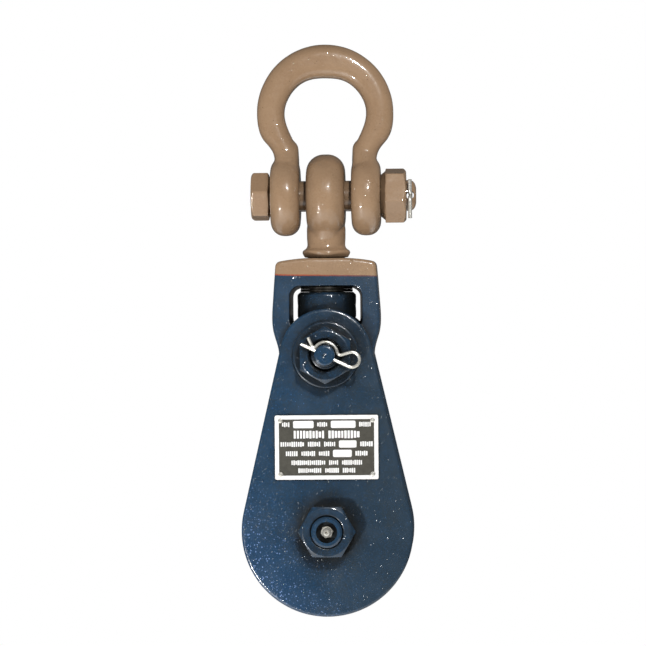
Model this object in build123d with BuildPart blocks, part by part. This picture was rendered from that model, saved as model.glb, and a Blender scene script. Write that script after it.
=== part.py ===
from build123d import *
import math
import os

# Single sheave block with a swivelling bow shackle, in millimetres.
# The origin is the crown of the shackle bow, where the hook or ring that carries
# the block bears. +Z is up, the rope runs in the XZ plane, and the front is at -Y.

# ---- driving dimensions ----
pin_z = -85.3               # shackle bolt, along X
head_z = -199.4             # head bolt, along Y: the side plates hang from it
sheave_z = -325.6           # centre pin, along Y: the sheave turns on it
bolt_radius = 11.1          # the 7/8 inch shackle bolt, head bolt and pin thread
running_fit = 0.08          # radial clearance of parts that turn
fixed_fit = 0.03            # radial clearance of parts that are bolted up

jaw_half = 18.5             # half the gap between the shackle's ears
ear_thickness = 21.3
ear_radius = 28.6
bow_depth = 23.0
crown_thickness = 24.1
bow_radius = 49.2           # outside of the bow
bow_center_z = crown_thickness - bow_radius

eye_thickness = 28.0
eye_radius = 30.2
shank_radius = 12.7
collar_radius = 17.5
collar_bottom_z = -129.6
shank_end_z = -178.0

yoke_top_z = -130.0
yoke_shoulder_z = -132.8
yoke_half_depth = 21.0
yoke_hub_radius = 34.0
window_half_width = 24.1    # at the middle of the yoke; the draft opens it outwards
window_top_z = -151.9
window_bottom_z = -179.6
window_draft = 5.7
thrust_seat_z = -150.4
thrust_thickness = 2.0

swivel_nut_radius = 21.2
swivel_nut_top_z = -154.5
swivel_nut_height = 20.0

plate_inner_y = 21.5
plate_thickness = 6.35
plate_head_radius = 33.0
plate_sheave_radius = 61.6
plate_outer_y = plate_inner_y + plate_thickness

washer_radius = 23.8
washer_thickness = 3.8
nut_flats = 36.0
head_nut_height = 14.0
head_pin_radius = 7.4
head_pin_length = 11.0
bolt_head_height = 13.0

sheave_radius = 57.15
rim_width = 28.6
groove_radius = 6.9
groove_slope = 20.0
tread_radius = 42.0
hub_radius = 24.0
hub_half_length = 19.0
web_half_thickness = 6.0
bushing_outer_radius = 15.875
journal_radius = 12.7
center_nut_height = 13.0

clip_wire_radius = 1.1
clip_tilt = 25.6            # how far the clip's straight leg slopes down to the right

nameplate_width = 74.0
nameplate_height = 46.0
nameplate_z = sheave_z + 60.0
nameplate_base = 0.8
raised = 0.3
rivet_spacing_x = 66.0
rivet_spacing_z = 38.5

os.makedirs("parts", exist_ok=True)


def facing(origin, direction, across=(1, 0, 0)):
    """A plane at origin that looks along direction."""
    return Plane(origin=origin, x_dir=across, z_dir=direction)


def turned(plane, outline, mode=Mode.ADD):
    """Turn a closed (radius, height) outline about the plane's own axis."""
    side = Plane(origin=plane.origin, x_dir=plane.x_dir, z_dir=-plane.y_dir)
    with BuildSketch(side) as section:
        with BuildLine() as boundary:
            Polyline(*outline, close=True)
        make_face(boundary.edges())
    revolve(section.sketch, axis=Axis(plane.origin, plane.z_dir), mode=mode)


def bore(plane, radius, start, end):
    """Cut a round hole along the plane's axis between two heights."""
    turned(plane, [(0, start), (radius, start), (radius, end), (0, end)], Mode.SUBTRACT)


def washer(plane, inner, outer, start, end, bevel=0.4):
    """A flat washer from height start to height end, its outer corners bevelled."""
    turned(
        plane,
        [
            (inner, start),
            (outer - bevel, start),
            (outer, start + bevel),
            (outer, end - bevel),
            (outer - bevel, end),
            (inner, end),
        ],
    )


def hexagon(plane, flats, height, turn=0.0):
    """A hexagon standing on the plane, with its far corners turned off at 30 degrees."""
    with BuildSketch(plane) as section:
        RegularPolygon(flats / 2, 6, major_radius=False, rotation=turn)
    extrude(section.sketch, amount=height)
    inner = flats / 2 * 0.96
    outer = flats / 2 * 1.2
    drop = (outer - inner) * math.tan(math.radians(30))
    turned(plane, [(inner, height), (outer, height), (outer, height - drop)], Mode.SUBTRACT)


def rounded_disc(plane, radius, thickness, rounding):
    """A disc standing on the plane, both rims rounded."""
    with BuildPart(mode=Mode.PRIVATE) as disc:
        with BuildSketch(plane) as section:
            Circle(radius)
        extrude(section.sketch, amount=thickness)
        fillet(edges().filter_by(GeomType.CIRCLE), rounding)
    add(disc.part)


def save(piece, name):
    """Label a finished piece and write it."""
    piece.part.label = name
    export_step(piece.part, f"parts/{name}.step")


head_front = facing((0, 0, head_z), (0, -1, 0))
head_rear = facing((0, 0, head_z), (0, 1, 0), across=(-1, 0, 0))
sheave_front = facing((0, 0, sheave_z), (0, -1, 0))
sheave_rear = facing((0, 0, sheave_z), (0, 1, 0), across=(-1, 0, 0))
pin_right = facing((0, 0, pin_z), (1, 0, 0), across=(0, 1, 0))
pin_left = facing((0, 0, pin_z), (-1, 0, 0), across=(0, -1, 0))
upright = Plane.XY

# ---- shackle bow: a round bar bent to a bow, with a rounded ear at each end ----
ear_outer = jaw_half + ear_thickness
ear_rounding = 9.6
leg_inner = 19.2
leg_outer = 36.7
leg_top_z = -60.0
bar_rounding = 8.4
web_thickness = leg_outer - leg_inner - 0.4
web_top_z = -55.0
with BuildPart() as bow_bar:
    with BuildSketch(Plane.XZ):
        with BuildLine():
            RadiusArc((0, crown_thickness), (bow_radius, bow_center_z), bow_radius)
            waist = Spline(
                (bow_radius, bow_center_z),
                (45.0, -44.0),
                (leg_outer, leg_top_z),
                tangents=[(0, -1), (0, -1)],
            )
            outer_leg = Line(waist @ 1, (leg_outer, pin_z))
            foot = Line(outer_leg @ 1, (leg_inner, pin_z))
            inner_leg = Line(foot @ 1, (leg_inner, -59.0))
            Spline(
                inner_leg @ 1,
                (23.2, -45.0),
                (29.5, -24.0),
                (18.4, -4.7),
                (0, 0),
                tangents=[(0, 1), (-1, 0)],
            )
            Line((0, 0), (0, crown_thickness))
        make_face()
        mirror(about=Plane.YZ)
    extrude(amount=bow_depth / 2, both=True)
    fillet(faces().filter_by(Axis.Y).edges(), bar_rounding)
with BuildPart() as ear_web:
    with BuildSketch(pin_right.offset((leg_inner + leg_outer - web_thickness) / 2)):
        Circle(ear_radius - 4.0)
        with Locations((0, web_top_z - pin_z)):
            Circle(bow_depth / 2 - 0.2)
        make_hull()
    extrude(amount=web_thickness)
    fillet(faces().filter_by(Axis.X).edges(), bar_rounding - 0.4)
with BuildPart() as bow_ear:
    rounded_disc(pin_right.offset(jaw_half), ear_radius, ear_thickness, ear_rounding)
    add(ear_web.part)
with BuildPart() as shackle_bow:
    add(bow_bar.part)
    add(bow_ear.part)
    mirror(bow_ear.part, about=Plane.YZ)
    bore(pin_right, bolt_radius + fixed_fit, -60, 60)
save(shackle_bow, "shackle_bow")

# ---- shackle bolt: hexagon head on the left, drilled for the cotter on the right ----
bolt_end_x = 65.2
cotter_x = 60.9
cotter_hole_radius = 2.85
bolt_head_flats = 31.75
with BuildPart() as shackle_bolt:
    head_face = pin_left.offset(ear_outer + 0.1)
    hexagon(head_face, bolt_head_flats, 13.9, turn=10)
    turned(head_face, [(11.8, 0), (20.0, 0), (20.0, 2.1)], Mode.SUBTRACT)
    turned(
        pin_right,
        [
            (0, -ear_outer - 0.1),
            (bolt_radius, -ear_outer - 0.1),
            (bolt_radius, bolt_end_x - 4.2),
            (bolt_radius - 0.8, bolt_end_x - 2.2),
            (bolt_radius - 2.6, bolt_end_x - 0.8),
            (bolt_radius - 5.4, bolt_end_x),
            (0, bolt_end_x),
        ],
    )
    bore(facing((cotter_x, 0, pin_z), (0, 1, 0)), cotter_hole_radius, -20, 20)
save(shackle_bolt, "shackle_bolt")

# ---- shackle nut: a thick hexagon with a coned face towards the ear ----
nut_cone = 3.2
with BuildPart() as shackle_nut:
    hexagon(pin_right.offset(ear_outer + 0.1 + nut_cone), nut_flats, 15.0, turn=12)
    turned(
        pin_right.offset(ear_outer + 0.1),
        [(0, 0), (15.2, 0), (17.8, nut_cone), (0, nut_cone)],
    )
    bore(pin_right, bolt_radius + fixed_fit, 30, 70)
save(shackle_nut, "shackle_nut")

# ---- shackle cotter: an eye behind the bolt, two legs through it, bent apart in front ----
cotter_wire_radius = 1.4
leg_height = cotter_wire_radius + 0.03
leg_bend = 13.2
with BuildPart() as shackle_cotter:
    with BuildLine(facing((cotter_x, 0, pin_z), (-1, 0, 0), across=(0, -1, 0))) as cotter_route:
        FilletPolyline(
            (14.6, 11.2),
            (leg_bend, leg_height),
            (-12.5, leg_height),
            (-16.0, 4.6),
            (-20.6, 0),
            (-16.0, -4.6),
            (-12.5, -leg_height),
            (leg_bend, -leg_height),
            (14.2, -16.6),
            radius=[2.4, 3.0, 3.0, 3.0, 3.0, 3.0, 2.4],
        )
    tip = cotter_route.line
    with BuildSketch(Plane(origin=tip @ 0, z_dir=tip % 0)):
        Circle(cotter_wire_radius)
    sweep(path=cotter_route.line)
save(shackle_cotter, "shackle_cotter")

# ---- swivel eye: a rounded ring, a necked stem, a collar and the swivel's shank ----
eye_rounding = 12.6
eye_mouth = 4.0             # rounding of the eye's hole
throat_top_z = -96.0
swivel_pin_radius = 2.5
swivel_pin_z = swivel_nut_top_z - swivel_nut_height / 2
swivel_pin_axis = facing((0, 0, swivel_pin_z), (1, 0, 0), across=(0, 1, 0))
with BuildPart() as eye_ring:
    rounded_disc(pin_right.offset(-eye_thickness / 2), eye_radius, eye_thickness, eye_rounding)
    eye_hole = bolt_radius + running_fit
    bore(pin_right, eye_hole, -20, 20)
    hole_rims = edges().filter_by(GeomType.CIRCLE)
    fillet([rim for rim in hole_rims if abs(rim.radius - eye_hole) < 0.001], eye_mouth)
with BuildPart() as eye_throat:
    with BuildSketch(Plane.XY.offset(throat_top_z - 4.0)):
        Ellipse(11.0, 23.0)
    with BuildSketch(Plane.XY.offset(throat_top_z - 23.0)):
        Circle(12.5)
    loft()
with BuildPart() as swivel_eye:
    turned(
        upright,
        [
            (0, throat_top_z - 4.0),
            (9.0, throat_top_z - 4.0),
            (13.2, throat_top_z - 8.0),
            (14.0, -109.0),
            (13.9, -116.0),
            (13.6, -121.0),
            (14.4, -123.0),
            (16.8, -124.6),
            (collar_radius, -125.8),
            (17.0, -127.2),
            (15.6, collar_bottom_z),
            (shank_radius, collar_bottom_z),
            (shank_radius, shank_end_z + 1.2),
            (shank_radius - 1.2, shank_end_z),
            (0, shank_end_z),
        ],
    )
    add(eye_throat.part)
    add(eye_ring.part)
    bore(swivel_pin_axis, swivel_pin_radius + fixed_fit, -20, 20)
save(swivel_eye, "swivel_eye")

# ---- swivel nut: round, screwed on the shank and cross-pinned ----
with BuildPart() as swivel_nut:
    bottom = swivel_nut_top_z - swivel_nut_height
    washer(upright, shank_radius + fixed_fit, swivel_nut_radius, bottom, swivel_nut_top_z, 2.0)
    bore(swivel_pin_axis, swivel_pin_radius + fixed_fit, -25, 25)
save(swivel_nut, "swivel_nut")

with BuildPart() as swivel_nut_pin:
    half_pin = swivel_nut_radius - 1.0
    turned(
        swivel_pin_axis,
        [
            (0.9, -half_pin),
            (swivel_pin_radius - 0.5, -half_pin),
            (swivel_pin_radius, 0.8 - half_pin),
            (swivel_pin_radius, half_pin - 0.8),
            (swivel_pin_radius - 0.5, half_pin),
            (0.9, half_pin),
        ],
    )
save(swivel_nut_pin, "swivel_nut_pin")

# ---- two thrust washers between the swivel nut and the yoke ----
thrust_top_z = thrust_seat_z
for name in ("thrust_washer_steel", "thrust_washer_bronze"):
    with BuildPart() as thrust_washer:
        thrust_bottom_z = thrust_top_z - thrust_thickness
        washer(upright, shank_radius + fixed_fit, 18.9, thrust_bottom_z, thrust_top_z - 0.04)
    save(thrust_washer, name)
    thrust_top_z = thrust_bottom_z

# ---- yoke: a forging with a swivel bore above, a window, and the head bolt's hub ----
side_curve = [(36.0, yoke_shoulder_z), (36.9, -144.0), (38.0, -160.0), (37.8, -183.0)]
hub_side = (yoke_hub_radius, head_z)
with BuildPart() as yoke:
    with BuildSketch(Plane.XZ):
        with BuildLine():
            Line((0, yoke_top_z), (12.0, yoke_top_z))
            ThreePointArc((12.0, yoke_top_z), (25.0, -131.0), side_curve[0])
            Spline(*side_curve, hub_side, tangents=[(0.05, -1), (0, -1)])
            ThreePointArc(hub_side, (24.04, head_z - 24.04), (0, head_z - yoke_hub_radius))
            Line((0, head_z - yoke_hub_radius), (0, yoke_top_z))
        make_face()
        fillet(vertices().sort_by_distance(side_curve[0])[0], 4.0)
        mirror(about=Plane.YZ)
    extrude(amount=yoke_half_depth, both=True)
    fillet(faces().filter_by(Axis.Y).edges(), 2.5)
    window_mid_z = (window_top_z + window_bottom_z) / 2
    for direction, across in (((0, -1, 0), (1, 0, 0)), ((0, 1, 0), (-1, 0, 0))):
        with BuildSketch(facing((0, 0, window_mid_z), direction, across)):
            Rectangle(2 * window_half_width, window_top_z - window_bottom_z)
            fillet(vertices(), 6.0)
        extrude(amount=yoke_half_depth + 1, taper=-window_draft, mode=Mode.SUBTRACT)
    bore(upright, shank_radius + running_fit, -160, -120)
    bore(upright, 19.1, -158, thrust_seat_z)
    bore(head_front, bolt_radius + running_fit, -30, 30)
save(yoke, "yoke")

# ---- side plates: teardrops that carry the sheave and hang from the head bolt ----
center_to_center = head_z - sheave_z
rivet_radius = 1.2
rivet_depth = 4.0
rivet_spots = [
    (x * rivet_spacing_x / 2, nameplate_z + z * rivet_spacing_z / 2)
    for x in (-1, 1)
    for z in (-1, 1)
]
rivet_planes = [facing((x, -plate_outer_y, z), (0, -1, 0)) for x, z in rivet_spots]
plate_sides = {
    "front_side_plate": (head_front, sheave_front, bolt_radius),
    "rear_side_plate": (head_rear, sheave_rear, journal_radius),
}
for name, (head_plane, sheave_plane, pin_radius) in plate_sides.items():
    with BuildPart() as side_plate:
        with BuildSketch(head_plane.offset(plate_inner_y)):
            Circle(plate_head_radius)
            with Locations((0, -center_to_center)):
                Circle(plate_sheave_radius)
            make_hull()
        extrude(amount=plate_thickness)
        fillet(faces().filter_by(Axis.Y).edges(), 1.3)
        bore(head_plane, bolt_radius + fixed_fit, 20, 30)
        bore(sheave_plane, pin_radius + fixed_fit, 20, 30)
        if name == "front_side_plate":
            for rivet_plane in rivet_planes:
                bore(rivet_plane, rivet_radius + fixed_fit, -rivet_depth - 0.1, 1)
    save(side_plate, name)

# ---- head bolt: through washers, plates and yoke, its front end turned down ----
head_washer_y = plate_outer_y + 0.02
head_nut_y = head_washer_y + washer_thickness + 0.02
head_thread_y = head_nut_y + head_nut_height - 2.0
head_pin_end_y = head_nut_y + head_nut_height + head_pin_length
clip_y = head_nut_y + head_nut_height + 3.4
with BuildPart() as head_bolt:
    hexagon(head_rear.offset(head_nut_y), nut_flats, bolt_head_height, turn=8)
    turned(
        head_front,
        [
            (0, -head_nut_y),
            (bolt_radius, -head_nut_y),
            (bolt_radius, head_thread_y - 1.5),
            (bolt_radius - 1.5, head_thread_y),
            (head_pin_radius, head_thread_y),
            (head_pin_radius, head_pin_end_y - 1.0),
            (head_pin_radius - 1.0, head_pin_end_y),
            (1.6, head_pin_end_y),
            (0, head_pin_end_y - 1.6),
        ],
    )
    tilt = math.radians(clip_tilt)
    clip_along = (math.cos(tilt), 0, -math.sin(tilt))
    bore(
        facing((0, -clip_y, head_z), clip_along, across=(0, 1, 0)),
        clip_wire_radius + running_fit,
        -10,
        10,
    )
save(head_bolt, "head_bolt")

for name, head_plane in (("head_washer_front", head_front), ("head_washer_rear", head_rear)):
    with BuildPart() as head_washer:
        washer(
            head_plane,
            bolt_radius + fixed_fit,
            washer_radius,
            head_washer_y,
            head_washer_y + washer_thickness,
            bevel=0.6,
        )
    save(head_washer, name)

with BuildPart() as head_nut:
    hexagon(head_front.offset(head_nut_y), nut_flats, head_nut_height, turn=30)
    bore(head_front, bolt_radius + fixed_fit, 30, 50)
    nut_end = head_nut_y + head_nut_height
    bevel_start = nut_end - 1.2
    turned(
        head_front,
        [(0, bevel_start), (bolt_radius, bevel_start), (bolt_radius + 1.2, nut_end), (0, nut_end)],
        Mode.SUBTRACT,
    )
save(head_nut, "head_nut")

# ---- hitch clip: a straight leg through the bolt, and a sprung leg around it ----
clip_plane = Plane(origin=(0, -clip_y, head_z), x_dir=clip_along, z_dir=(0, -1, 0))
clip_leg_end = 18.8
clip_loop_radius = 5.36
clip_loop_angle = 220.9
throat_length = 6.29
saddle_radius = 2.35
saddle_angle = -95.9
hug_radius = 8.65
hug_angle = 130.0
kink_radius = 1.7
kink_angle = -115.0
free_end_length = 6.6
with BuildPart() as hitch_clip:
    with BuildLine(clip_plane) as clip_route:
        leg = Line((-clip_leg_end, 0), (clip_leg_end, 0))
        loop = JernArc(leg @ 1, leg % 1, clip_loop_radius, clip_loop_angle)
        throat_line = Line(loop @ 1, loop @ 1 + (loop % 1) * throat_length)
        saddle = JernArc(throat_line @ 1, throat_line % 1, saddle_radius, saddle_angle)
        hug = JernArc(saddle @ 1, saddle % 1, hug_radius, hug_angle)
        kink = JernArc(hug @ 1, hug % 1, kink_radius, kink_angle)
        Line(kink @ 1, kink @ 1 + (kink % 1) * free_end_length)
    with BuildSketch(Plane(origin=leg @ 0, z_dir=leg % 0)):
        Circle(clip_wire_radius)
    sweep(path=clip_route.line)
save(hitch_clip, "hitch_clip")

# ---- centre pin: hexagon head behind, journal for the sheave, thread in front ----
pin_gap = 0.03
center_nut_y = plate_outer_y + pin_gap
center_pin_end_y = center_nut_y + center_nut_height + 2.6
socket_radius = 7.6
socket_floor_y = center_pin_end_y - 7.5
fitting_bore_radius = 2.9
grease_radius = 2.0
with BuildPart() as center_pin:
    hexagon(sheave_rear.offset(center_nut_y), 38.0, bolt_head_height, turn=15)
    turned(
        sheave_front,
        [
            (0, -center_nut_y),
            (journal_radius, -center_nut_y),
            (journal_radius, plate_inner_y - pin_gap),
            (bolt_radius, plate_inner_y - pin_gap),
            (bolt_radius, center_pin_end_y - 1.4),
            (bolt_radius - 1.4, center_pin_end_y),
            (0, center_pin_end_y),
        ],
    )
    bore(sheave_front, socket_radius, socket_floor_y, center_pin_end_y + 1)
    bore(sheave_front, fitting_bore_radius + fixed_fit, socket_floor_y - 8, socket_floor_y + 1)
    bore(sheave_front, grease_radius, 0, socket_floor_y)
    bore(facing((0, -2.0, sheave_z), (0, 0, 1)), grease_radius - 0.2, 0, 20)
save(center_pin, "center_pin")

with BuildPart() as center_pin_nut:
    hexagon(sheave_front.offset(center_nut_y), nut_flats, center_nut_height, turn=0)
    bore(sheave_front, bolt_radius + fixed_fit, 20, 50)
    nut_end = center_nut_y + center_nut_height
    bevel_start = nut_end - 1.2
    turned(
        sheave_front,
        [(0, bevel_start), (bolt_radius, bevel_start), (bolt_radius + 1.2, nut_end), (0, nut_end)],
        Mode.SUBTRACT,
    )
save(center_pin_nut, "center_pin_nut")

# ---- grease fitting in the pin's socket, with its check ball and spring ----
fitting_base = socket_floor_y + 0.03
fitting_tail = fitting_base - 6.0
fitting_tip = fitting_base + 10.2
chamber_radius = 1.45
ball_radius = 1.25
ball_center = fitting_tip - 2.05
with BuildPart() as grease_fitting:
    hexagon(sheave_front.offset(fitting_base), 8.0, 3.0, turn=10)
    turned(
        sheave_front,
        [
            (0, fitting_tail),
            (fitting_bore_radius, fitting_tail),
            (fitting_bore_radius, fitting_base + 3.0),
            (2.3, fitting_base + 3.4),
            (2.3, fitting_base + 5.4),
            (3.25, fitting_base + 6.4),
            (3.25, fitting_base + 7.8),
            (2.3, fitting_base + 9.6),
            (1.6, fitting_tip),
            (0, fitting_tip),
        ],
    )
    turned(
        sheave_front,
        [
            (0, fitting_tail - 1),
            (0.75, fitting_tail - 1),
            (0.75, fitting_tail + 0.8),
            (chamber_radius, fitting_tail + 0.8),
            (chamber_radius, fitting_tip - 1.8),
            (0.8, fitting_tip - 1.0),
            (0.8, fitting_tip + 1),
            (0, fitting_tip + 1),
        ],
        Mode.SUBTRACT,
    )
save(grease_fitting, "grease_fitting")

with BuildPart() as grease_fitting_ball:
    with Locations((0, -ball_center, sheave_z)):
        Sphere(ball_radius)
save(grease_fitting_ball, "grease_fitting_ball")

spring_wire_radius = 0.17
spring_radius = 1.1
spring_start = fitting_tail + 0.8 + spring_wire_radius + 0.03
spring_length = ball_center - 0.95 - spring_start
with BuildPart() as grease_fitting_spring:
    with BuildLine() as coil:
        Helix(
            pitch=spring_length / 8,
            height=spring_length,
            radius=spring_radius,
            center=(0, -spring_start, sheave_z),
            direction=(0, -1, 0),
        )
    with BuildSketch(Plane(origin=coil.line @ 0, z_dir=coil.line % 0)):
        Circle(spring_wire_radius)
    sweep(path=coil.line, is_frenet=True)
save(grease_fitting_spring, "grease_fitting_spring")

# ---- sheave: hub, web and grooved rim, on a bronze bushing ----
with BuildPart() as sheave:
    rim_half = rim_width / 2
    rim_inner = tread_radius - 6.0
    bushing_bore = bushing_outer_radius + fixed_fit
    half_outline = [
        (bushing_bore, hub_half_length),
        (hub_radius - 1.0, hub_half_length),
        (hub_radius, hub_half_length - 1.0),
        (hub_radius + 1.5, web_half_thickness),
        (rim_inner, web_half_thickness),
        (rim_inner + 3.5, rim_half - 1.5),
        (rim_inner + 5.5, rim_half),
        (sheave_radius - 0.8, rim_half),
        (sheave_radius, rim_half - 0.8),
    ]
    turned(sheave_front, half_outline + [(r, -h) for r, h in reversed(half_outline)])
    slope = math.radians(groove_slope)
    groove_center = tread_radius + groove_radius
    flank_radius = groove_center - groove_radius * math.sin(slope)
    flank_half = groove_radius * math.cos(slope)
    mouth_radius = sheave_radius + 2.0
    mouth_half = flank_half + (mouth_radius - flank_radius) * math.tan(slope)
    with BuildSketch(Plane(origin=(0, 0, sheave_z), x_dir=(1, 0, 0), z_dir=(0, 0, 1))):
        with BuildLine():
            tread = ThreePointArc(
                (flank_radius, -flank_half),
                (tread_radius, 0),
                (flank_radius, flank_half),
            )
            Polyline(tread @ 1, (mouth_radius, mouth_half), (mouth_radius, -mouth_half), tread @ 0)
        make_face()
    revolve(axis=Axis((0, 0, sheave_z), (0, 1, 0)), mode=Mode.SUBTRACT)
save(sheave, "sheave")

with BuildPart() as sheave_bushing:
    washer(
        sheave_front,
        journal_radius + running_fit,
        bushing_outer_radius,
        -hub_half_length,
        hub_half_length,
        bevel=0.5,
    )
    with BuildSketch(facing((0, 0, sheave_z), (0, 0, 1), across=(1, 0, 0))):
        Circle(grease_radius - 0.5)
    extrude(amount=bushing_outer_radius + 2, mode=Mode.SUBTRACT)
save(sheave_bushing, "sheave_bushing")

for name, plane in (("hub_washer_front", sheave_front), ("hub_washer_rear", sheave_rear)):
    with BuildPart() as hub_washer:
        washer(plane, journal_radius + fixed_fit, hub_radius, hub_half_length + 0.1, plate_inner_y - 0.1)
    save(hub_washer, name)

# ---- nameplate: a framed plate with raised blank bars where the wording would be ----
frame_width = 2.9
# each row: height above the plate's centre, bar height, and its bars from left to right;
# a negative length is an empty field with a rim, for a value to be stamped in
bar_gap = 2.4
field_height = 5.6
rows = [
    (16.4, 4.2, [5.7, -14.7, 7.5, -17.7, 8.7]),
    (9.2, 6.3, [22.5, 22.8]),
    (2.3, 4.5, [17.1, 9.3, 8.4, -12.6, 9.3]),
    (-4.4, 4.5, [8.7, 10.2, 7.8, -13.5, 9.0]),
    (-10.9, 4.5, [24.6, 6.9, 14.7]),
    (-16.5, 4.2, [16.8, 10.2, 9.3]),
]
nameplate_face = facing((0, -plate_outer_y - 0.02, nameplate_z), (0, -1, 0))
with BuildPart() as nameplate:
    with BuildSketch(nameplate_face):
        RectangleRounded(nameplate_width, nameplate_height, 1.2)
    extrude(amount=nameplate_base)
    with BuildSketch(nameplate_face.offset(nameplate_base)):
        RectangleRounded(nameplate_width, nameplate_height, 1.2)
        Rectangle(
            nameplate_width - 2 * frame_width,
            nameplate_height - 2 * frame_width,
            mode=Mode.SUBTRACT,
        )
    extrude(amount=raised)
    for row_z, bar_height, bars in rows:
        row_width = sum(abs(bar) for bar in bars) + bar_gap * (len(bars) - 1)
        left = -row_width / 2
        for bar in bars:
            middle = left + abs(bar) / 2
            height = bar_height if bar > 0 else field_height
            with BuildSketch(nameplate_face.offset(nameplate_base)):
                with Locations((middle, row_z)):
                    Rectangle(abs(bar), height)
            extrude(amount=raised if bar > 0 else raised * 0.7)
            left += abs(bar) + bar_gap
    for rivet_plane in rivet_planes:
        bore(rivet_plane, rivet_radius + fixed_fit, -1, 3)
save(nameplate, "nameplate")

nameplate_top = 0.02 + nameplate_base + raised
with BuildPart() as nameplate_rivets:
    for rivet_plane in rivet_planes:
        turned(
            rivet_plane,
            [
                (0, -rivet_depth),
                (rivet_radius, -rivet_depth),
                (rivet_radius, nameplate_top + 0.02),
                (1.8, nameplate_top + 0.02),
                (1.6, nameplate_top + 0.5),
                (0.9, nameplate_top + 0.9),
                (0, nameplate_top + 1.0),
            ],
        )
save(nameplate_rivets, "nameplate_rivets")
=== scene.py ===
import math
import random

import bmesh
import bpy
import numpy as np
from mathutils import Matrix, Vector, noise


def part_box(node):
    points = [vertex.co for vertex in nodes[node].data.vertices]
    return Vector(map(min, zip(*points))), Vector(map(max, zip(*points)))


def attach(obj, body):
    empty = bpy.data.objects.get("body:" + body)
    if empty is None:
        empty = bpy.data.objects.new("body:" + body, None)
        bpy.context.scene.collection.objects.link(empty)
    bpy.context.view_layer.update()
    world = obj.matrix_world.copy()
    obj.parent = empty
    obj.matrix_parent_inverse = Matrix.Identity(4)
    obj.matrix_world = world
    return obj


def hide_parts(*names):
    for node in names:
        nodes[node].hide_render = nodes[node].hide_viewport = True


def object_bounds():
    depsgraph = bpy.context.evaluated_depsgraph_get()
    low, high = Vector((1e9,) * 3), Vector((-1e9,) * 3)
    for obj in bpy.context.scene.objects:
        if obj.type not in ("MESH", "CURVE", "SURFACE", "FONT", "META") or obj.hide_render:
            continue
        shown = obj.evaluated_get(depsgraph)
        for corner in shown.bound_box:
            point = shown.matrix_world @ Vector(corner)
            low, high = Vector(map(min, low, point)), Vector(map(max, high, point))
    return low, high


# The looks of a single sheave block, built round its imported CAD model, in metres.
# The block hangs from its shackle bow: +Z is up, the front is at -Y.

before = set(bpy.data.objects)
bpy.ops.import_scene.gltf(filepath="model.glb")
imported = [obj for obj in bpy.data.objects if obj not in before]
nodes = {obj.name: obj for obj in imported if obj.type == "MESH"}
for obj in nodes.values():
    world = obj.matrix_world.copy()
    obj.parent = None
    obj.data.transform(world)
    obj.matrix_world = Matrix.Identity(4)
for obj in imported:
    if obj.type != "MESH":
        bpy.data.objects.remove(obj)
cad_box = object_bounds()
MM = 0.001

random.seed(4)


# ---- places, read from the CAD model ----

def middle(low, high):
    """The centre of a box."""
    return (low + high) / 2


pin_axis = middle(*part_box("center_pin_nut"))    # the sheave's axis runs along Y through here
yoke_face_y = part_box("yoke")[1].y               # how far the yoke's flat faces are from its middle
bottom_z = cad_box[0].z


# ---- materials ----

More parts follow.
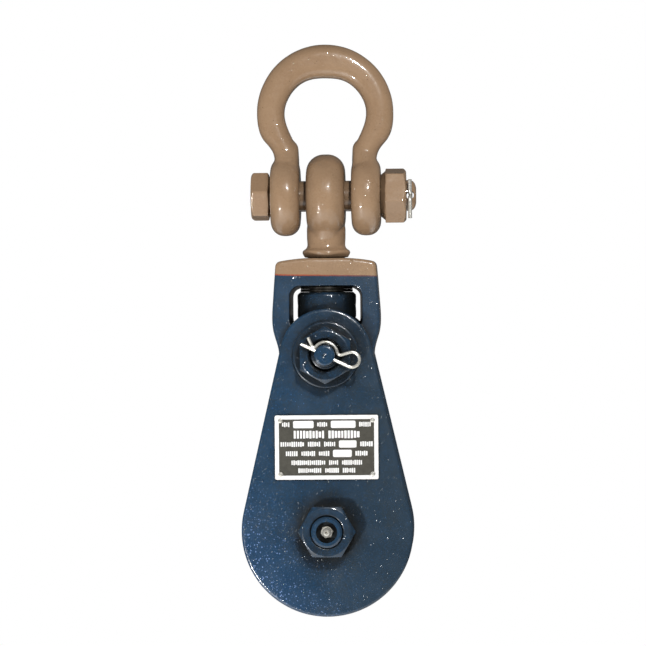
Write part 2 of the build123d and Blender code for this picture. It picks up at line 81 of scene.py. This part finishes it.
class Look:
    """A node material, with short calls for the procedural pieces that the looks share."""

    def __init__(self, name, **sockets):
        self.material = bpy.data.materials.new(name)
        self.material.use_nodes = True
        self.tree = self.material.node_tree
        self.shader = self.tree.nodes["Principled BSDF"]
        self.place = self.add("ShaderNodeTexCoord").outputs["Object"]
        for socket, value in sockets.items():
            self.shader.inputs[socket.replace("_", " ")].default_value = value

    def add(self, kind):
        return self.tree.nodes.new(kind)

    def link(self, source, target):
        self.tree.links.new(source, target)

    def noise(self, size, detail=2.0, roughness=0.5):
        """Cloudy noise with features of about size metres."""
        node = self.add("ShaderNodeTexNoise")
        node.inputs["Scale"].default_value = 1.0 / size
        node.inputs["Detail"].default_value = detail
        node.inputs["Roughness"].default_value = roughness
        self.link(self.place, node.inputs["Vector"])
        return node.outputs["Fac"]

    def cells(self, size):
        """Distance to the nearest of points scattered about size metres apart, in sizes."""
        node = self.add("ShaderNodeTexVoronoi")
        node.inputs["Scale"].default_value = 1.0 / size
        self.link(self.place, node.inputs["Vector"])
        return node.outputs["Distance"]

    def ramp(self, value, span, result=(0.0, 1.0)):
        """value mapped from one pair of ends to another, and held at the ends."""
        node = self.add("ShaderNodeMapRange")
        node.inputs["From Min"].default_value = span[0]
        node.inputs["From Max"].default_value = span[1]
        node.inputs["To Min"].default_value = result[0]
        node.inputs["To Max"].default_value = result[1]
        self.link(value, node.inputs["Value"])
        return node.outputs["Result"]

    def blend(self, amount, first, second):
        """A colour mixed from first to second; each is a colour or a socket."""
        node = self.add("ShaderNodeMix")
        node.data_type = "RGBA"
        amount_socket, first_socket, second_socket = node.inputs[0], node.inputs[6], node.inputs[7]
        self.link(amount, amount_socket)
        for value, socket in ((first, first_socket), (second, second_socket)):
            if isinstance(value, tuple):
                socket.default_value = (*value, 1.0)
            else:
                self.link(value, socket)
        return node.outputs[2]

    def calc(self, operation, first, second=0.0):
        """A sum on two values; each is a number or a socket."""
        node = self.add("ShaderNodeMath")
        node.operation = operation
        for value, socket in ((first, node.inputs[0]), (second, node.inputs[1])):
            if isinstance(value, (int, float)):
                socket.default_value = value
            else:
                self.link(value, socket)
        return node.outputs[0]

    def plus(self, first, second):
        return self.calc("ADD", first, second)

    def minus(self, first, second):
        return self.calc("SUBTRACT", first, second)

    def times(self, first, *others):
        """The product of two or more values."""
        for other in others:
            first = self.calc("MULTIPLY", first, other)
        return first

    def split(self):
        """The object coordinates as three values."""
        node = self.add("ShaderNodeSeparateXYZ")
        self.link(self.place, node.inputs[0])
        return node.outputs

    def from_pin(self):
        """The distance from the sheave's axis."""
        x, _, z = self.split()
        squares = [self.times(offset, offset)
                   for offset in (self.minus(x, pin_axis.x), self.minus(z, pin_axis.z))]
        return self.calc("SQRT", self.plus(*squares))

    def bump(self, height, depth, below=None):
        """A bump of depth metres, stacked on another bump."""
        node = self.add("ShaderNodeBump")
        node.inputs["Distance"].default_value = depth
        self.link(height, node.inputs["Height"])
        if below is not None:
            self.link(below, node.inputs["Normal"])
        return node.outputs["Normal"]

    def creases(self, open_edge, full_edge, strength):
        """How sunken the surface is, from the mesh's pointiness: 0 in the open, strength in a crease."""
        pointiness = self.add("ShaderNodeNewGeometry").outputs["Pointiness"]
        return self.times(self.ramp(pointiness, (open_edge, full_edge)), strength)

    def occlusion(self, distance):
        """How open the surface is within a distance: 1 in the open, 0 in a tight corner."""
        node = self.add("ShaderNodeAmbientOcclusion")
        node.samples = 6
        node.inputs["Distance"].default_value = distance
        return node.outputs["AO"]

    def finish(self, color, roughness, normal, coat_normal=None):
        """The material, once its colour, roughness and bumps are joined to the shader."""
        self.link(color, self.shader.inputs["Base Color"])
        self.link(roughness, self.shader.inputs["Roughness"])
        self.link(normal, self.shader.inputs["Normal"])
        if coat_normal is not None:
            self.link(coat_normal, self.shader.inputs["Coat Normal"])
        return self.material


TAN_DEEP = (0.280, 0.179, 0.105)
TAN_PALE = (0.316, 0.206, 0.123)
TAN_SPECK = (0.370, 0.245, 0.150)
TAN_PITS_AND_CREASE_SHADE = (0.110, 0.068, 0.038)
# the colour of the painted shade in the tan enamel's corners
TAN_CORNER_SHADE = (0.150, 0.095, 0.055)
BLUE_DEEP = (0.0090, 0.031, 0.062)
BLUE_PALE = (0.0155, 0.045, 0.086)
BLUE_DULL = (0.024, 0.034, 0.040)
# a grey for the painted haze over the yoke's blue
BLUE_PAINTED_HAZE = (0.056, 0.070, 0.086)
BLUE_GRAIN = (0.010, 0.060, 0.150)
BLUE_SPECK = (0.060, 0.160, 0.380)
# the next two are painted light: sparkle highlights and a brighter sheen on the plates' lower left
BLUE_PAINTED_SPARKLE = (0.16, 0.26, 0.50)
BLUE_PAINTED_SHEEN = (0.009, 0.045, 0.112)
BLUE_CREASE_SHADE = (0.006, 0.010, 0.014)
PRIMER = (0.380, 0.080, 0.028)
# near black: soot on the nuts, painted shade in corners and the yoke's window, a painted shadow round
# the pin
GRIME_AND_SHADE = (0.0065, 0.0065, 0.0045)
CLOUDY = (0.35, 0.70)        # the part of a noise's range that turns it into soft-edged clouds


def enamel(look, color, corner_shade=GRIME_AND_SHADE, reach=12 * MM, peel=0.09 * MM, nib=0.11 * MM, blob=0.0):
    """Glossy brushed-on enamel with dull patches, and painted shade where corners are within reach.

    peel is the depth of the orange peel, nib that of the dust nibs and blob that of paint blobs.
    """
    # painted shade: the colour darkens where the surface is hemmed in by corners within reach
    corner = look.ramp(look.occlusion(reach), (0.93, 0.50), (0.0, 0.88))
    color = look.blend(corner, color, corner_shade)
    forging = look.noise(12 * MM, detail=3.0)
    orange_peel = look.noise(2.2 * MM)
    nibs = look.ramp(look.cells(3.5 * MM), (0.15, 0.02))
    grit = look.ramp(look.cells(1.7 * MM), (0.25, 0.05))
    normal = look.bump(forging, 0.4 * MM)
    normal = look.bump(orange_peel, peel, normal)
    normal = look.bump(nibs, nib, normal)
    normal = look.bump(grit, 0.4 * nib, normal)
    if blob:
        blobs = look.ramp(look.cells(10 * MM), (0.14, 0.02))
        normal = look.bump(blobs, blob, normal)
    haze = look.noise(30 * MM, detail=4.0, roughness=0.6)
    roughness = look.ramp(haze, (0.3, 0.75), (0.22, 0.36))
    return look.finish(color, roughness, normal, normal)


def tan_color(look):
    """Tan, faintly clouded, with paler mottle, a few dark pits and painted shade in creases."""
    cloud = look.ramp(look.noise(20 * MM, detail=4.0, roughness=0.6), CLOUDY)
    color = look.blend(cloud, TAN_DEEP, TAN_PALE)
    mottle = look.ramp(look.noise(1.5 * MM), (0.35, 0.75), (0.0, 0.35))
    color = look.blend(mottle, color, TAN_SPECK)
    pits = look.ramp(look.cells(6 * MM), (0.07, 0.03), (0.0, 0.8))
    color = look.blend(pits, color, TAN_PITS_AND_CREASE_SHADE)
    # painted shade: darker in the mesh's creases
    return look.blend(look.creases(0.47, 0.42, 0.6), color, TAN_PITS_AND_CREASE_SHADE)


def blue_color(look):
    """Navy, mottled, with fine lighter grain, scattered light specks and painted shade in creases."""
    cloud = look.ramp(look.noise(30 * MM, detail=5.0, roughness=0.65), (0.32, 0.68))
    color = look.blend(cloud, BLUE_DEEP, BLUE_PALE)
    dull = look.ramp(look.noise(11 * MM, detail=4.0, roughness=0.7), (0.48, 0.70), (0.0, 0.55))
    color = look.blend(dull, color, BLUE_DULL)
    grain = look.ramp(look.noise(1.1 * MM, detail=3.0, roughness=0.7), (0.50, 0.72), (0.0, 0.75))
    color = look.blend(grain, color, BLUE_GRAIN)
    specks = look.ramp(look.cells(4.7 * MM), (0.085, 0.045), (0.0, 0.9))
    color = look.blend(specks, color, BLUE_SPECK)
    # painted shade: darker in the mesh's creases
    return look.blend(look.creases(0.49, 0.44, 0.7), color, BLUE_CREASE_SHADE)


def tan_paint():
    """The tan of the shackle and the swivel eye, glossy and little soiled."""
    look = Look("tan_enamel", Coat_Weight=1.0, Coat_Roughness=0.035, Specular_IOR_Level=0.2)
    return enamel(look, tan_color(look), TAN_CORNER_SHADE, reach=5 * MM, peel=0.06 * MM, nib=0.10 * MM)


def blue_paint():
    """The plain navy of the head bolt, the centre pin and the rear washer."""
    look = Look("blue_enamel", Coat_Weight=0.8, Coat_Roughness=0.06)
    return enamel(look, blue_color(look))


def plate_paint():
    """Blue enamel with painted sheen and sparkles lower left, painted shade right, painted shadow round
    the pin.
    """
    look = Look("plate_enamel", Coat_Weight=0.8, Coat_Roughness=0.07)
    x, _, z = look.split()
    wander = look.ramp(look.noise(20 * MM, detail=4.0, roughness=0.7), (0.3, 0.7), (-16 * MM, 16 * MM))

    # painted light: a brighter blue sheen with pale painted sparkle highlights, from past the pin to the
    # lower left rim
    to_lower_left = look.plus(look.times(x, -0.75), look.times(look.minus(z, pin_axis.z), -0.66))
    lit_lower_left = look.ramp(look.plus(to_lower_left, wander), (12 * MM, 58 * MM))
    sparkle_cells = look.ramp(look.cells(2.1 * MM), (0.29, 0.14))
    sparse = look.ramp(look.noise(2.6 * MM, roughness=0.8), (0.42, 0.55))
    painted_sparkles = look.times(lit_lower_left, sparkle_cells, sparse)
    color = look.blend(painted_sparkles, blue_color(look), BLUE_PAINTED_SPARKLE)
    color = look.blend(look.times(lit_lower_left, 0.5), color, BLUE_PAINTED_SHEEN)
    color = look.blend(painted_sparkles, color, BLUE_PAINTED_SPARKLE)

    # painted shade: duller towards the right
    color = look.blend(look.ramp(x, (-30 * MM, 45 * MM), (0.0, 0.5)), color, BLUE_DULL)

    # painted shadow: a dark ring round the centre pin nut, with a wavy edge
    painted_shadow_reach = look.plus(look.from_pin(), look.times(wander, 0.25))
    color = look.blend(look.ramp(painted_shadow_reach, (31 * MM, 20 * MM), (0.0, 0.55)), color, GRIME_AND_SHADE)
    return enamel(look, color, reach=22 * MM, peel=0.11 * MM, nib=0.18 * MM)


def nut_paint():
    """The blue of the nuts and the front washer, dirtier and oilier than the plates'."""
    look = Look("nut_enamel", Coat_Weight=0.9, Coat_Roughness=0.07)
    soot_and_shade = look.ramp(look.noise(6 * MM, detail=4.0, roughness=0.7), (0.35, 0.65), (0.10, 0.55))
    color = look.blend(soot_and_shade, blue_color(look), GRIME_AND_SHADE)
    return enamel(look, color, reach=26 * MM, blob=0.43 * MM)


def yoke_paint():
    """Tan over the crown and blue below with a painted haze, a thin run of red primer between, painted
    shade in the window.
    """
    paint_line_z = -142.2 * MM
    line_slope = 0.022
    look = Look("yoke_enamel", Coat_Weight=0.8, Coat_Roughness=0.05)
    x, y, z = look.split()
    wander = look.ramp(look.noise(14 * MM, detail=3.0), (0.3, 0.7), (-0.25 * MM, 0.25 * MM))
    height = look.plus(look.plus(z, wander), look.times(x, line_slope))
    is_tan = look.ramp(height, (paint_line_z - 0.1 * MM, paint_line_z + 0.1 * MM))
    # painted light: a grey haze over the blue, stronger towards the right
    painted_haze = look.ramp(x, (-30 * MM, 30 * MM), (0.14, 0.30))
    hazed_blue = look.blend(painted_haze, blue_color(look), BLUE_PAINTED_HAZE)
    color = look.blend(is_tan, hazed_blue, tan_color(look))

    off_line = look.calc("ABSOLUTE", look.minus(height, paint_line_z - 0.3 * MM))
    primer = look.ramp(off_line, (0.7 * MM, 0.2 * MM), (0.0, 0.85))
    more_at_left = look.ramp(x, (30 * MM, -15 * MM), (0.3, 1.0))
    color = look.blend(look.times(primer, more_at_left), color, PRIMER)

    # painted shade: near black inside the yoke's window, between its sides, off its faces and under its
    # top
    window_side_x = 27.2 * MM
    window_top_z = -150.8 * MM
    window_bottom_z = -181.5 * MM
    between_sides = look.ramp(look.calc("ABSOLUTE", x), (window_side_x + 1.4 * MM, window_side_x))
    off_faces = look.ramp(look.calc("ABSOLUTE", y), (yoke_face_y - 0.1 * MM, yoke_face_y - 1.0 * MM))
    under_top = look.ramp(z, (window_top_z + 1.0 * MM, window_top_z))
    over_bottom = look.ramp(z, (window_bottom_z - 3.5 * MM, window_bottom_z))
    soot_and_shade = look.times(between_sides, off_faces, under_top, over_bottom, 0.9)
    color = look.blend(soot_and_shade, color, GRIME_AND_SHADE)
    return enamel(look, color, reach=6 * MM, peel=0.08 * MM, nib=0.16 * MM, blob=0.43 * MM)


def metal_roughness(look, low, high):
    """Roughness that changes softly from place to place between low and high."""
    return look.ramp(look.noise(4 * MM, detail=4.0, roughness=0.6), (0.3, 0.75), (low, high))


def bare_metal(name, deep, pale, rough_low, rough_high, metallic=1.0):
    """Turned or plated metal with fine scratches and stains."""
    look = Look(name, Metallic=metallic)
    stain = look.ramp(look.noise(6 * MM, detail=5.0, roughness=0.65), CLOUDY)
    scratches = look.noise(0.6 * MM, detail=3.0, roughness=0.7)
    return look.finish(
        look.blend(stain, deep, pale),
        metal_roughness(look, rough_low, rough_high),
        look.bump(scratches, 0.02 * MM),
    )


def turned_metal(name, deep, pale, rough=0.3, metallic=1.0):
    """Lathe-turned metal: fine rings about the sheave's axis."""
    ring_pitch = 0.6 * MM
    look = Look(name, Metallic=metallic)
    rings = look.calc("SINE", look.times(look.from_pin(), 2 * math.pi / ring_pitch))
    stain = look.ramp(look.noise(8 * MM, detail=5.0, roughness=0.65), CLOUDY)
    normal = look.bump(rings, 0.012 * MM)
    normal = look.bump(look.noise(0.7 * MM, detail=3.0), 0.02 * MM, normal)
    return look.finish(look.blend(stain, deep, pale), metal_roughness(look, rough, rough + 0.2), normal)


def nameplate_paint(ground_y):
    """Bright raised metal over a dark etched ground, told apart by height."""
    look = Look("nameplate_etched")
    _, y, _ = look.split()
    raised = look.ramp(y, (ground_y - 0.05 * MM, ground_y - 0.12 * MM))
    ground_cloud = look.ramp(look.noise(3 * MM, detail=4.0, roughness=0.6), (0.3, 0.7))
    ground = look.blend(ground_cloud, (0.034, 0.031, 0.022), (0.056, 0.052, 0.038))
    metal_cloud = look.ramp(look.noise(4 * MM, detail=5.0, roughness=0.7), CLOUDY)
    metal = look.blend(metal_cloud, (0.84, 0.82, 0.80), (0.96, 0.96, 0.95))
    look.link(look.times(raised, 0.12), look.shader.inputs["Metallic"])
    return look.finish(
        look.blend(raised, ground, metal),
        look.ramp(raised, (0.0, 1.0), (0.62, 0.36)),
        look.bump(look.noise(0.5 * MM, detail=3.0, roughness=0.7), 0.02 * MM),
    )


# ---- the forged and cut pieces, shown by softened copies of their CAD shapes ----

def new_piece(name, mesh, material, body, stands_for, smooth=True):
    """An object that rides on a body in place of one CAD node."""
    piece = bpy.data.objects.new(name, mesh)
    bpy.context.scene.collection.objects.link(piece)
    mesh.materials.clear()
    mesh.materials.append(material)
    for face in mesh.polygons:
        face.use_smooth = smooth
        face.material_index = 0
    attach(piece, body)
    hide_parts(stands_for)


def uneven(spot):
    """Slow waves with smaller ones on them, between about -1 and 1."""
    return noise.noise(spot) + 0.5 * noise.noise(spot * 2.7)


def softened(node, voxel, passes, wave):
    """A CAD node's shape with rounded corners and slightly uneven faces, kept inside its box."""
    wave_length = 20 * MM
    draft = bpy.data.objects.new(node + "_draft", nodes[node].data.copy())
    bpy.context.scene.collection.objects.link(draft)
    remesh = draft.modifiers.new("even", "REMESH")
    remesh.mode = "VOXEL"
    remesh.voxel_size = voxel
    smooth = draft.modifiers.new("soften", "SMOOTH")
    smooth.factor = 0.5
    smooth.iterations = passes
    bpy.context.view_layer.update()
    evaluated = draft.evaluated_get(bpy.context.evaluated_depsgraph_get())
    mesh = bpy.data.meshes.new_from_object(evaluated)
    bpy.data.objects.remove(draft)

    places = np.empty(3 * len(mesh.vertices), np.float32)
    mesh.vertices.foreach_get("co", places)
    places = places.reshape(-1, 3)
    normals = np.empty(3 * len(mesh.vertices), np.float32)
    mesh.vertex_normals.foreach_get("vector", normals)
    lift = np.array([uneven(Vector(place) / wave_length) for place in places])
    places += normals.reshape(-1, 3) * lift[:, None] * wave
    places = np.clip(places, *(np.array(corner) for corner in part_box(node)))
    mesh.vertices.foreach_set("co", places.ravel())
    return mesh


tan = tan_paint()
blue = blue_paint()
plate_blue = plate_paint()
nut_blue = nut_paint()
yoke_coat = yoke_paint()

forgings = (
    # node, body, slot, material, voxel (mm), smoothing passes, depth of the waves (mm)
    ("shackle_bow", "shackle", "tan_paint", tan, 0.9, 12, 0.12),
    ("swivel_eye", "swivel", "tan_paint", tan, 0.7, 4, 0.08),
    ("yoke", "yoke", "blue_paint", yoke_coat, 0.8, 5, 0.08),
    ("front_side_plate", "cheeks", "blue_paint", plate_blue, 0.9, 4, 0.03),
    ("rear_side_plate", "cheeks", "blue_paint", plate_blue, 0.9, 4, 0.03),
    ("shackle_bolt", "shackle", "tan_paint", tan, 0.5, 2, 0.015),
    ("shackle_nut", "shackle", "tan_paint", tan, 0.4, 3, 0.015),
    ("head_nut", "cheeks", "blue_paint", nut_blue, 0.4, 6, 0.02),
    ("center_pin_nut", "cheeks", "blue_paint", nut_blue, 0.4, 5, 0.02),
    ("head_washer_front", "cheeks", "blue_paint", nut_blue, 0.4, 10, 0.03),
    ("head_washer_rear", "cheeks", "blue_paint", blue, 0.4, 4, 0.02),
    ("head_bolt", "cheeks", "blue_paint", blue, 0.6, 3, 0.01),
    ("swivel_nut", "swivel", "blue_paint", nut_blue, 0.6, 4, 0.03),
)
for node, body, slot, coat, voxel, passes, wave in forgings:
    shape = softened(node, voxel * MM, passes, wave * MM)
    new_piece(node + "_painted", shape, coat, body, node)


# ---- the nameplate ----

def rounded_outline(width, height, radius, steps):
    """Points (x, z) round a rectangle with rounded corners, from the lower right on."""
    points = []
    for corner, (side, end) in enumerate(((1, -1), (1, 1), (-1, 1), (-1, -1))):
        for step in range(steps + 1):
            angle = math.radians(-90 + 90 * corner + 90 * step / steps)
            points.append((
                side * (width / 2 - radius) + radius * math.cos(angle),
                end * (height / 2 - radius) + radius * math.sin(angle),
            ))
    return points


def slab(shape, outline, rear_y, front_y, inner=None):
    """A closed slab over an outline between two depths; inner leaves a window of as many points."""
    def ring(points, depth):
        return [shape.verts.new((x, depth, z)) for x, z in points]
    front, rear = ring(outline, front_y), ring(outline, rear_y)
    loops = [(rear, front)]
    if inner:
        inner_front, inner_rear = ring(inner, front_y), ring(inner, rear_y)
        loops += [(front, inner_front), (inner_front, inner_rear), (inner_rear, rear)]
    else:
        shape.faces.new(front)
        shape.faces.new(list(reversed(rear)))
    for first, second in loops:
        for i in range(len(outline)):
            j = (i + 1) % len(outline)
            shape.faces.new((first[i], first[j], second[j], second[i]))


def block(shape, x, z, width, height, rear_y, front_y):
    """A small raised block with a softened outline."""
    radius = min(width, height) * 0.18
    outline = [(x + dx, z + dz) for dx, dz in rounded_outline(width, height, radius, steps=2)]
    slab(shape, outline, rear_y, front_y)


def stroke_row(shape, left, row_z, length, stroke_height, rear_y, front_y):
    """Upright strokes of chance width and height side by side, which say nothing."""
    pitch_to_height = 0.42
    strokes = max(2, round(length / (stroke_height * pitch_to_height)))
    pitch = length / strokes
    for i in range(strokes):
        wide = pitch * random.uniform(0.62, 0.84)
        tall = stroke_height * random.choice((0.78, 0.9, 1.0, 1.0))
        block(shape, left + (i + 0.5) * pitch, row_z, wide, tall, rear_y, front_y)


def nameplate_mesh(ground_y):
    """A framed plate with rows of raised strokes and blank fields on a ground at ground_y."""
    low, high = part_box("nameplate")
    width, height = high.x - low.x, high.z - low.z
    frame_width = 2.9 * MM
    sunk_y = ground_y + 0.1 * MM        # raised parts start inside the ground
    shape = bmesh.new()
    outline = rounded_outline(width, height, 1.2 * MM, steps=6)
    inner = rounded_outline(width - 2 * frame_width, height - 2 * frame_width, 0.5 * MM, steps=6)
    slab(shape, outline, high.y, ground_y)
    slab(shape, outline, sunk_y, low.y, inner)

    # height of the row, stroke height and lengths of its words (mm); a negative one is a blank field
    rows = (
        (16.4, 3.4, (5.7, -14.7, 7.5, -17.7, 8.7)),
        (9.2, 5.6, (22.5, 22.8)),
        (2.3, 3.6, (17.1, 9.3, 8.4, -12.6, 9.3)),
        (-4.4, 3.6, (8.7, 10.2, 7.8, -13.5, 9.0)),
        (-10.9, 3.5, (24.6, 6.9, 14.7)),
        (-16.5, 3.4, (16.8, 10.2, 9.3)),
    )
    gap = 2.4 * MM
    field_height = 5.2 * MM
    field_y = low.y + 0.08 * MM
    for row_z, stroke_height, words in rows:
        lengths = [abs(word) * MM for word in words]
        left = -(sum(lengths) + gap * (len(words) - 1)) / 2
        for word, length in zip(words, lengths):
            if word < 0:
                block(shape, left + length / 2, row_z * MM, length, field_height, sunk_y, field_y)
            else:
                stroke_row(shape, left, row_z * MM, length, stroke_height * MM, sunk_y, low.y)
            left += length + gap
    center = middle(low, high)
    bmesh.ops.translate(shape, verts=shape.verts, vec=(center.x, 0, center.z))
    bmesh.ops.recalc_face_normals(shape, faces=shape.faces)
    mesh = bpy.data.meshes.new("nameplate_etched")
    shape.to_mesh(mesh)
    shape.free()
    return mesh


plate_ground_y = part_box("nameplate")[1].y - 0.8 * MM
new_piece("nameplate_stamped", nameplate_mesh(plate_ground_y), nameplate_paint(plate_ground_y),
          "cheeks", "nameplate", smooth=False)


# ---- CAD nodes that are shown as they are, in better materials ----

def dress(material, *names):
    """Give CAD nodes that are shown as they are a better material."""
    for name in names:
        mesh = nodes[name].data
        mesh.materials.clear()
        mesh.materials.append(material)


zinc = bare_metal("bright_zinc", (0.78, 0.75, 0.66), (0.97, 0.96, 0.91), 0.20, 0.34, metallic=0.70)
oiled_steel = bare_metal("oiled_steel", (0.16, 0.15, 0.13), (0.38, 0.36, 0.33), 0.28, 0.50)
# painted shade: near-black steel for the thrust washers, which sit in the shaded gap over the swivel nut
steel_in_painted_shade = bare_metal("steel_in_painted_shade", (0.03, 0.03, 0.025), (0.10, 0.09, 0.08), 0.30, 0.50)
bronze = turned_metal("bronze_turned", (0.35, 0.20, 0.08), (0.66, 0.43, 0.20))
sheave_iron = turned_metal("sheave_iron", (0.11, 0.105, 0.10), (0.30, 0.29, 0.28), 0.38, metallic=0.55)
dress(bronze, "sheave_bushing", "hub_washer_front", "hub_washer_rear")
dress(steel_in_painted_shade, "thrust_washer_bronze", "thrust_washer_steel")
dress(oiled_steel, "swivel_nut_pin", "grease_fitting_ball", "grease_fitting_spring")
dress(zinc, "grease_fitting", "hitch_clip", "shackle_cotter", "nameplate_rivets")
dress(sheave_iron, "sheave")
dress(blue, "center_pin")


# ---- stage: floor, light, camera ----

def studio_floor():
    """A wide pale disc, well below the hanging block."""
    radius = 1.0
    drop = 0.42
    mesh = bpy.data.meshes.new("floor")
    shape = bmesh.new()
    bmesh.ops.create_circle(shape, cap_ends=True, segments=96, radius=radius)
    bmesh.ops.translate(shape, verts=shape.verts, vec=(0, 0, bottom_z - drop))
    shape.to_mesh(mesh)
    shape.free()
    look = Look("floor_paper", Roughness=0.9)
    tint = look.ramp(look.noise(0.2, detail=3.0), (0.3, 0.7))
    look.link(look.blend(tint, (0.86, 0.86, 0.85), (0.90, 0.90, 0.89)), look.shader.inputs["Base Color"])
    mesh.materials.append(look.material)
    floor = bpy.data.objects.new("floor", mesh)
    bpy.context.scene.collection.objects.link(floor)


def soft_light(name, direction, distance, diameter, power, glints):
    """A round lamp that faces the sheave's pin from distance metres away along direction."""
    data = bpy.data.lights.new(name, "AREA")
    data.shape = "DISK"
    data.size = diameter
    data.energy = power
    lamp = bpy.data.objects.new(name, data)
    bpy.context.scene.collection.objects.link(lamp)
    outward = Vector(direction).normalized()
    lamp.location = pin_axis + outward * distance
    lamp.rotation_mode = "QUATERNION"
    lamp.rotation_quaternion = outward.to_track_quat("Z", "Y")
    lamp.visible_glossy = glints


def white_world():
    """White behind the object, and a weaker even light from all round."""
    world = bpy.data.worlds.new("studio")
    bpy.context.scene.world = world
    world.use_nodes = True
    tree = world.node_tree
    tree.nodes.clear()
    seen = tree.nodes.new("ShaderNodeBackground")
    seen.inputs["Color"].default_value = (1, 1, 1, 1)
    seen.inputs["Strength"].default_value = 1.0
    fill = tree.nodes.new("ShaderNodeBackground")
    fill.inputs["Color"].default_value = (1.0, 0.99, 0.97, 1)
    fill.inputs["Strength"].default_value = 0.075
    path = tree.nodes.new("ShaderNodeLightPath")
    mix = tree.nodes.new("ShaderNodeMixShader")
    out = tree.nodes.new("ShaderNodeOutputWorld")
    tree.links.new(path.outputs["Is Camera Ray"], mix.inputs[0])
    tree.links.new(fill.outputs[0], mix.inputs[1])
    tree.links.new(seen.outputs[0], mix.inputs[2])
    tree.links.new(mix.outputs[0], out.inputs["Surface"])


def photo_camera():
    """A long lens a little to the right of the front, the block leaning a touch to the left."""
    azimuth = math.radians(2.2)
    elevation = math.radians(0.5)
    roll = math.radians(0.5)
    distance = 2.6
    frame_height = 0.4671
    sensor = 36.0
    aim = Vector((-2.9 * MM, 0.0, -176.9 * MM))
    data = bpy.data.cameras.new("camera")
    data.sensor_width = sensor
    data.lens = sensor * distance / frame_height
    camera = bpy.data.objects.new("camera", data)
    bpy.context.scene.collection.objects.link(camera)
    back = Vector((
        math.sin(azimuth) * math.cos(elevation),
        -math.cos(azimuth) * math.cos(elevation),
        math.sin(elevation),
    ))
    turn = back.to_track_quat("Z", "Y").to_matrix().to_4x4() @ Matrix.Rotation(-roll, 4, "Z")
    camera.matrix_world = Matrix.Translation(aim + back * distance) @ turn
    bpy.context.scene.camera = camera


lamps = (
    # name, direction, distance and diameter (m), power (W), whether shiny surfaces mirror it
    ("lower_left", (-0.52, -0.78, -0.35), 0.85, 0.08, 5.4, True),
    ("top_right", (0.18, -0.78, 0.60), 1.1, 0.09, 8.3, True),
    ("behind", (0.48, 0.85, 0.20), 1.2, 0.5, 5.0, False),
    ("left_side", (-0.88, 0.25, 0.40), 1.2, 0.6, 5.0, False),
    ("right_side", (0.88, 0.25, 0.40), 1.2, 0.6, 5.0, False),
)
studio_floor()
white_world()
for lamp in lamps:
    soft_light(*lamp)
photo_camera()
bpy.context.scene.view_settings.view_transform = "Standard"
